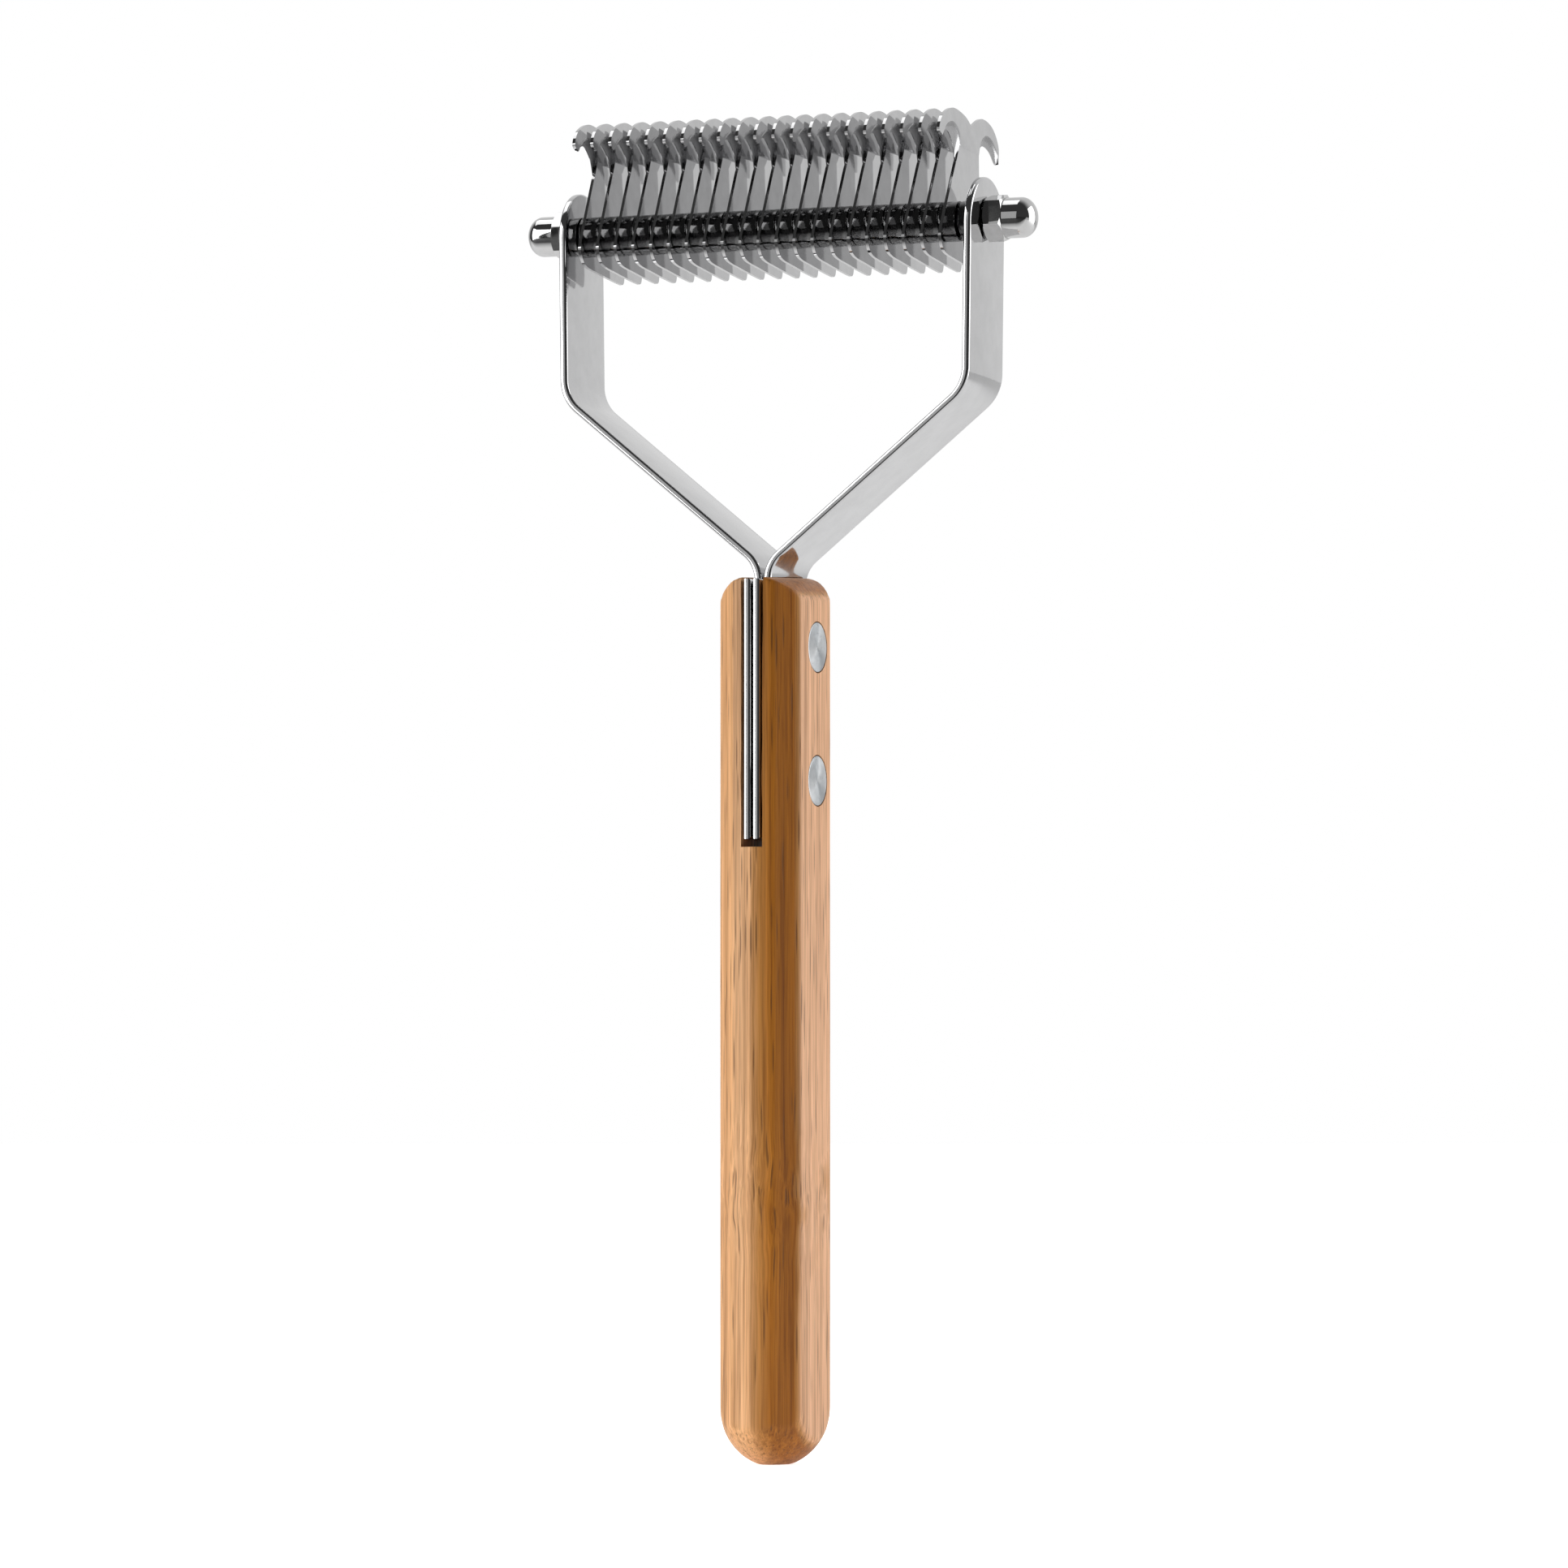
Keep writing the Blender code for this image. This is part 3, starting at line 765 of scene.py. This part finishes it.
class Nodes:
    """A material's node tree, with short ways to add and join nodes."""

    def __init__(self, name, **settings):
        self.material = bpy.data.materials.new(name)
        self.material.use_nodes = True
        self.tree = self.material.node_tree
        self.shader = self.tree.nodes["Principled BSDF"]
        for key, value in settings.items():
            self.shader.inputs[key.replace("_", " ")].default_value = value
        self.coordinates = self.tree.nodes.new("ShaderNodeTexCoord").outputs["Object"]

    def add(self, kind, inputs=(), **attributes):
        node = self.tree.nodes.new(f"ShaderNode{kind}")
        for key, value in attributes.items():
            setattr(node, key, value)
        for key, value in dict(inputs).items():
            if isinstance(value, bpy.types.NodeSocket):
                self.tree.links.new(value, node.inputs[key])
            else:
                node.inputs[key].default_value = value
        return node

    def set(self, key, socket):
        """Joins socket to the shader's input called key."""
        self.tree.links.new(socket, self.shader.inputs[key])

    def scaled(self, scale, vector=None):
        inputs = {"Vector": vector or self.coordinates, "Scale": scale}
        return self.add("Mapping", inputs).outputs["Vector"]

    def noise(self, scale, detail=3.0, roughness=0.55, vector=None):
        inputs = {"Vector": self.scaled(scale, vector), "Scale": 1.0}
        inputs.update({"Detail": detail, "Roughness": roughness})
        return self.add("TexNoise", inputs).outputs

    def ramp(self, value, stops, interpolation="LINEAR"):
        """A colour ramp from (position, grey or colour) stops."""
        node = self.add("ValToRGB", {"Fac": value})
        ramp = node.color_ramp
        ramp.interpolation = interpolation
        while len(ramp.elements) < len(stops):
            ramp.elements.new(0.5)
        for element, (position, colour) in zip(ramp.elements, stops):
            element.position = position
            grey = isinstance(colour, (int, float))
            element.color = (colour, colour, colour, 1) if grey else (*colour, 1)
        return node.outputs["Color"]

    def mix(self, kind, share, first, second):
        node = self.add("Mix", data_type="RGBA", blend_type=kind)
        for index, value in ((0, share), (6, first), (7, second)):
            if isinstance(value, bpy.types.NodeSocket):
                self.tree.links.new(value, node.inputs[index])
            else:
                node.inputs[index].default_value = value
        return node.outputs[2]

    def math(self, operation, first, second=0.0, third=0.0):
        node = self.add("Math", {0: first, 1: second, 2: third}, operation=operation)
        return node.outputs[0]

    def bump(self, height, distance, strength=1.0):
        inputs = {"Height": height, "Distance": distance, "Strength": strength}
        self.set("Normal", self.add("Bump", inputs).outputs["Normal"])


def bamboo():
    """Laminated bamboo: wide strips across X and long fibres along Z. The dark strips towards +X are
    painted shade on the right front facet.

    Its dark bundles show as dots on the end grain. The figure is wildest near a node low on the grip.
    """
    n = Nodes("bamboo", Roughness=0.42, Coat_Weight=0.06, Coat_Roughness=0.3, Specular_IOR_Level=0.3)
    z = n.add("SeparateXYZ", {"Vector": n.coordinates}).outputs["Z"]
    figure = n.math("ABSOLUTE", n.math("SUBTRACT", z, 0.043))
    figure = n.ramp(n.math("MULTIPLY", figure, 45.0), [(0.0, 1.0), (0.7, 0.22), (1.0, 0.1)], "EASE")
    wave = n.noise((260, 260, 95), 1.5)["Color"]
    shift = n.add("VectorMath", {0: wave, 1: (0.5, 0.5, 0.5)}, operation="SUBTRACT").outputs[0]
    amount = n.add("VectorMath", {0: figure, 1: (0.0022, 0.0022, 0.0)}, operation="MULTIPLY").outputs[0]
    shift = n.add("VectorMath", {0: shift, 1: amount}, operation="MULTIPLY").outputs[0]
    bent = n.add("VectorMath", {0: n.coordinates, 1: shift}, operation="ADD").outputs[0]
    across = n.add("SeparateXYZ", {"Vector": bent}).outputs["X"]
    across = n.add("MapRange", {"Value": across, "From Min": -7.2 * MM, "From Max": 7.2 * MM})
    # Painted shade: the dark strips from 0.60 to 0.93 across X stand for the shading of the right front
    # facet; the other strips are the bamboo's own tone.
    strips = [
        (0.0, (0.76, 0.41, 0.19)),
        (0.13, (0.72, 0.365, 0.145)),
        (0.36, (0.78, 0.43, 0.20)),
        (0.50, (0.72, 0.37, 0.15)),
        (0.60, (0.54, 0.235, 0.058)),
        (0.72, (0.43, 0.15, 0.014)),
        (0.93, (0.39, 0.13, 0.010)),
        (0.965, (0.54, 0.25, 0.075)),
        (0.985, (0.74, 0.40, 0.205)),
        (1.0, (0.76, 0.42, 0.225)),
    ]
    colour = n.ramp(across.outputs["Result"], strips)
    fibres = n.noise((1300, 1300, 14), 4.0, 0.62, bent)["Fac"]
    stops = [(0.28, (0.54, 0.45, 0.34)), (0.48, (1.0, 1.0, 1.0)), (0.72, (1.24, 1.26, 1.3))]
    colour = n.mix("MULTIPLY", 0.85, colour, n.ramp(fibres, stops))
    broad = n.noise((560, 560, 16), 2.0, 0.5, bent)["Fac"]
    stops = [(0.3, (0.80, 0.76, 0.68)), (0.7, (1.16, 1.17, 1.2))]
    colour = n.mix("MULTIPLY", 0.8, colour, n.ramp(broad, stops))
    fine = n.noise((4200, 4200, 60), 2.0, 0.6, bent)["Fac"]
    stops = [(0.32, (0.70, 0.64, 0.56)), (0.52, (1.0, 1.0, 1.0)), (0.72, (1.16, 1.18, 1.22))]
    colour = n.mix("MULTIPLY", 0.8, colour, n.ramp(fine, stops))
    bundle_vector = n.scaled((1500, 1500, 70), bent)
    cells = n.add("TexVoronoi", {"Vector": bundle_vector, "Scale": 1.0, "Randomness": 1.0})
    spread = n.noise((500, 500, 40), 1.0)["Fac"]
    dots = n.math("ADD", cells.outputs["Distance"], n.math("MULTIPLY", spread, -0.22))
    bundles = n.ramp(dots, [(0.0, 1.0), (0.06, 0.8), (0.16, 0.0)])
    colour = n.mix("MIX", n.math("MULTIPLY", bundles, 0.72), colour, (0.15, 0.06, 0.015, 1))
    n.set("Base Color", colour)
    n.set("Roughness", n.math("MULTIPLY_ADD", fibres, -0.25, 0.56))
    height = n.math("ADD", n.math("MULTIPLY", fibres, 0.8), n.math("MULTIPLY", fine, 0.5))
    height = n.math("SUBTRACT", height, n.math("MULTIPLY", bundles, 0.5))
    n.bump(height, 0.06 * MM, 0.6)
    return n.material


def steel(name, colour, roughness, grain, marks, unevenness):
    """Polished steel with faint polishing lines along grain and cloudy marks in its gloss."""
    n = Nodes(name, Metallic=1.0, Roughness=roughness)
    lines = n.noise(grain, 2.0, 0.6)["Fac"]
    clouds = n.noise((marks, marks, marks), 3.0, 0.6)["Fac"]
    gloss = n.math("MULTIPLY_ADD", clouds, unevenness * 2, roughness - unevenness)
    gloss = n.math("ADD", gloss, n.math("MULTIPLY", lines, unevenness))
    n.set("Roughness", gloss)
    darker = [c * 0.93 for c in colour]
    n.set("Base Color", n.ramp(clouds, [(0.35, darker), (0.65, colour)]))
    n.bump(n.math("ADD", n.math("MULTIPLY", lines, 0.4), clouds), 0.001 * MM, 0.3)
    return n.material


def aluminium_with_painted_sheen():
    """Rivet heads: faced on a lathe, with anisotropic gloss. Their sheen is painted into the base colour
    as lighter and darker rays round the middle.
    """
    n = Nodes("aluminium_with_painted_sheen", Metallic=1.0, Roughness=0.3, Anisotropic=0.85)
    tangent = n.add("Tangent", direction_type="RADIAL", axis="X")
    n.set("Tangent", tangent.outputs["Tangent"])
    clouds = n.noise((900, 900, 900), 3.0)["Fac"]
    n.set("Roughness", n.math("MULTIPLY_ADD", clouds, 0.2, 0.2))
    generated = n.tree.nodes.new("ShaderNodeTexCoord").outputs["Generated"]
    centred = n.add("VectorMath", {0: generated, 1: (0.5, 0.5, 0.5)}, operation="SUBTRACT").outputs[0]
    apart = n.add("SeparateXYZ", {"Vector": centred})
    turn = n.math("ARCTAN2", apart.outputs["Z"], apart.outputs["Y"])
    # Painted sheen: the colour turns lighter and darker by angle round the head's middle, and the clouds
    # add random tone on top.
    painted_sheen_spokes = n.math("SINE", n.math("MULTIPLY_ADD", turn, 2.0, 0.6))
    thin = n.math("SINE", n.math("MULTIPLY_ADD", turn, 5.0, 2.0))
    shade = n.math("MULTIPLY_ADD", painted_sheen_spokes, 0.3, n.math("MULTIPLY", thin, 0.1))
    shade = n.math("ADD", shade, n.math("MULTIPLY", clouds, 1.0))
    n.set("Base Color", n.ramp(shade, [(0.15, (0.34, 0.36, 0.375)), (0.85, (0.56, 0.575, 0.585))]))
    return n.material


def black_plastic():
    """Glossy black, worn a little unevenly."""
    n = Nodes("black_plastic", Specular_IOR_Level=0.3, Coat_Weight=1.0, Coat_IOR=2.5, Coat_Roughness=0.04)
    rub = n.noise((200, 500, 500), 2.0, 0.5)["Fac"]
    n.set("Base Color", n.ramp(rub, [(0.3, (0.004, 0.004, 0.005)), (0.7, (0.010, 0.010, 0.011))]))
    n.set("Roughness", n.math("MULTIPLY_ADD", rub, 0.04, 0.1))
    return n.material


# ---------------------------------------------------------------- studio


def around(azimuth, elevation, distance, z):
    """A point round the Z axis: azimuth 0 is in front (-Y) and 90 to the right (+X)."""
    a, e = radians(azimuth), radians(elevation)
    return Vector((sin(a) * cos(e), -cos(a) * cos(e), sin(e))) * distance + Vector((0, 0, z))


def make_camera():
    """The camera, fitted to the photo's viewpoint."""
    camera = bpy.data.objects.new("camera", bpy.data.cameras.new("camera"))
    bpy.context.scene.collection.objects.link(camera)
    camera.data.sensor_width = CAMERA_SENSOR
    camera.data.lens = CAMERA_LENS
    camera.data.clip_start = 0.05
    camera.data.clip_end = 50.0
    a, e = CAMERA_AZIMUTH, CAMERA_ELEVATION
    back = Vector((sin(a) * cos(e), -cos(a) * cos(e), sin(e)))
    right = Vector((cos(a), sin(a), 0))
    camera.location = Vector((0, 0, CAMERA_AIM_Z)) + back * CAMERA_DISTANCE + right * CAMERA_SIDESTEP
    camera.rotation_mode = "QUATERNION"
    camera.rotation_quaternion = (-back).to_track_quat("-Z", "Y")
    bpy.context.scene.camera = camera


def soft_box(name, azimuth, elevation, distance, width, height, power):
    """A rectangular light that faces the middle of the object."""
    light = bpy.data.lights.new(name, "AREA")
    light.shape = "RECTANGLE"
    light.size = width
    light.size_y = height
    light.energy = power
    thing = bpy.data.objects.new(name, light)
    bpy.context.scene.collection.objects.link(thing)
    thing.location = around(azimuth, elevation, distance, LIGHT_AIM_Z)
    towards = Vector((0, 0, LIGHT_AIM_Z)) - thing.location
    thing.rotation_euler = towards.to_track_quat("-Z", "Y").to_euler()


def make_world():
    """A white backdrop for the camera, and a room that is bright behind the object and dim in front."""
    world = bpy.data.worlds.new("studio")
    bpy.context.scene.world = world
    world.use_nodes = True
    tree = world.node_tree
    tree.nodes.clear()
    add, link = tree.nodes.new, tree.links.new
    where = add("ShaderNodeTexCoord")
    facing = add("ShaderNodeVectorMath")
    facing.operation = "DOT_PRODUCT"
    facing.inputs[1].default_value = around(ROOM_BRIGHT_AZIMUTH, ROOM_BRIGHT_ELEVATION, 1.0, 0.0)
    link(where.outputs["Generated"], facing.inputs[0])
    ramp = add("ShaderNodeValToRGB")
    ramp.color_ramp.interpolation = "EASE"
    for element, (position, grey) in zip(ramp.color_ramp.elements, ROOM_GREYS):
        element.position = position
        element.color = (grey, grey, grey, 1)
    link(facing.outputs["Value"], ramp.inputs["Fac"])
    room = add("ShaderNodeBackground")
    link(ramp.outputs["Color"], room.inputs["Color"])
    backdrop = add("ShaderNodeBackground")
    backdrop.inputs["Color"].default_value = (1, 1, 1, 1)
    seen = add("ShaderNodeLightPath")
    mix = add("ShaderNodeMixShader")
    link(seen.outputs["Is Camera Ray"], mix.inputs[0])
    link(room.outputs[0], mix.inputs[1])
    link(backdrop.outputs[0], mix.inputs[2])
    link(mix.outputs[0], add("ShaderNodeOutputWorld").inputs["Surface"])


def make_floor():
    """A pale floor that glows, so it shows white.

    Reflections and bounced light see it dark from a little way ahead of the object.
    """
    bm = bmesh.new()
    bmesh.ops.create_circle(bm, cap_ends=True, segments=96, radius=FLOOR_RADIUS)
    floor = place("floor", mesh_from(bm, "floor"))
    floor.location.z = cad_low.z - 0.02 * MM
    n = Nodes("pale_floor", Roughness=0.8)
    seen = n.add("LightPath").outputs["Is Camera Ray"]
    away = around(FLOOR_DARK_AZIMUTH, 0, 1.0, 0.0)
    ahead = n.add("VectorMath", {0: n.coordinates, 1: away}, operation="DOT_PRODUCT").outputs["Value"]
    limits = {"From Min": FLOOR_DARK_START, "From Max": FLOOR_DARK_END}
    ahead = n.add("MapRange", {"Value": ahead, **limits}).outputs["Result"]
    dark = n.math("MULTIPLY", ahead, n.math("SUBTRACT", 1.0, seen))
    n.set("Base Color", n.mix("MIX", dark, FLOOR_PALE, FLOOR_DARK))
    near = n.math("MULTIPLY", n.math("SUBTRACT", 1.0, ahead), FLOOR_GLOW)
    glow = n.add("Mix", {0: seen, 2: near, 3: FLOOR_GLOW_SEEN}, data_type="FLOAT").outputs[0]
    glow = n.add("Emission", {"Color": (1, 1, 1, 1), "Strength": glow})
    both = n.add("AddShader", {0: n.shader.outputs[0], 1: glow.outputs[0]})
    n.tree.links.new(both.outputs[0], n.tree.nodes["Material Output"].inputs["Surface"])
    floor.data.materials.append(n.material)


def main():
    polished = steel("polished_steel", (0.60, 0.60, 0.605), 0.07, (900, 900, 40), 260, 0.03)
    sharpened = steel("blade_steel", (0.55, 0.55, 0.555), 0.055, (300, 2600, 900), 420, 0.02)
    hollow = steel("ground_steel", (0.36, 0.36, 0.365), 0.16, (300, 3000, 3000), 500, 0.04)
    plated = steel("nickel_plate", (0.58, 0.58, 0.58), 0.04, (900, 900, 900), 500, 0.01)
    thread = steel("thread_steel", (0.50, 0.50, 0.51), 0.30, (900, 900, 900), 900, 0.05)
    make_handle(bamboo())
    make_arms(polished)
    rivets = aluminium_with_painted_sheen()
    make_rivet("upper_rivet", rivets)
    make_rivet("lower_rivet", rivets)
    make_rod(thread)
    make_blades(sharpened, hollow)
    make_spacers(black_plastic())
    make_nuts(plated)
    make_floor()
    make_world()
    for name, placing in SOFT_BOXES.items():
        soft_box(name, *placing)
    make_camera()
    bpy.context.scene.view_settings.view_transform = "Standard"


main()
